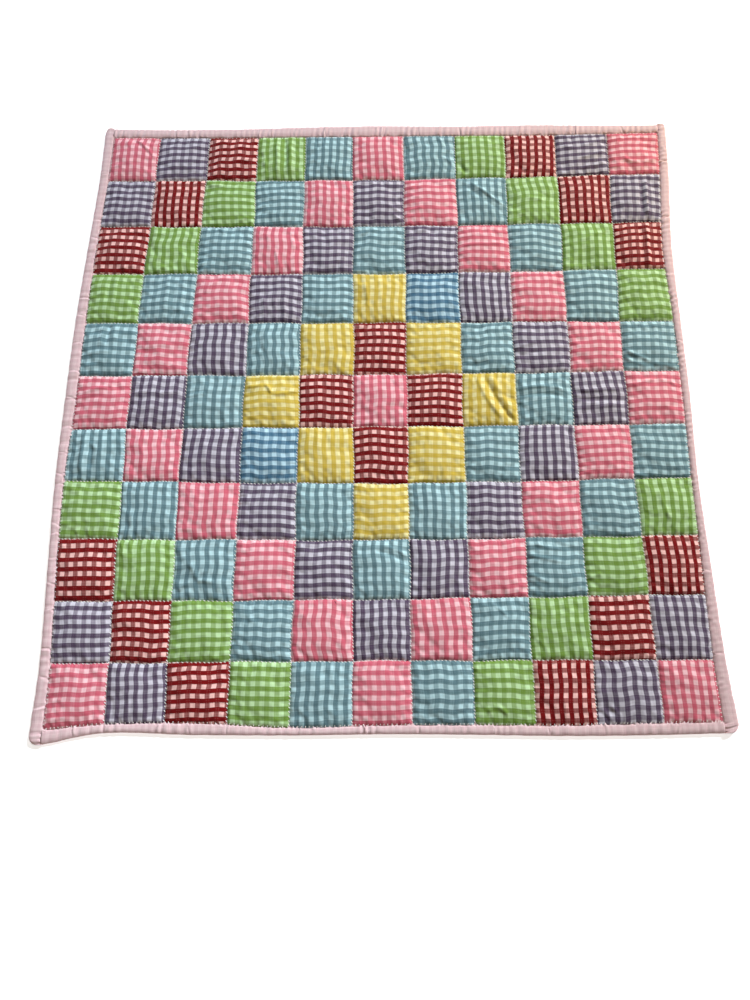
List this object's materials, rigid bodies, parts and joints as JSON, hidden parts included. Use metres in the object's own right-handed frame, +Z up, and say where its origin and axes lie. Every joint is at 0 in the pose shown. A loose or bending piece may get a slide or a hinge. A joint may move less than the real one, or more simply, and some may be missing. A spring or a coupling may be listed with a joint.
{
  "type": "patchwork quilt",
  "caption": "Square cotton patchwork quilt lying flat, with puffed gingham squares sewn through along every seam and a folded binding all round.",
  "frame": {"origin": "middle of the quilt's footprint, on the surface that it lies on", "axes": "+Z up out of the patchwork face, +X to the right and +Y towards the far edge as pictured"},
  "size_m": [0.9192, 0.953, 0.0102],
  "materials": {
    "patchwork_cotton": "matt woven cotton gingham in mixed colours over soft wadding",
    "binding_cotton": "matt woven cotton in pale pink"
  },
  "bodies": {
    "root": {"quilt": "patchwork_cotton", "binding_left": "binding_cotton", "binding_right": "binding_cotton", "binding_top": "binding_cotton", "binding_bottom": "binding_cotton"}
  },
  "joints": []
}
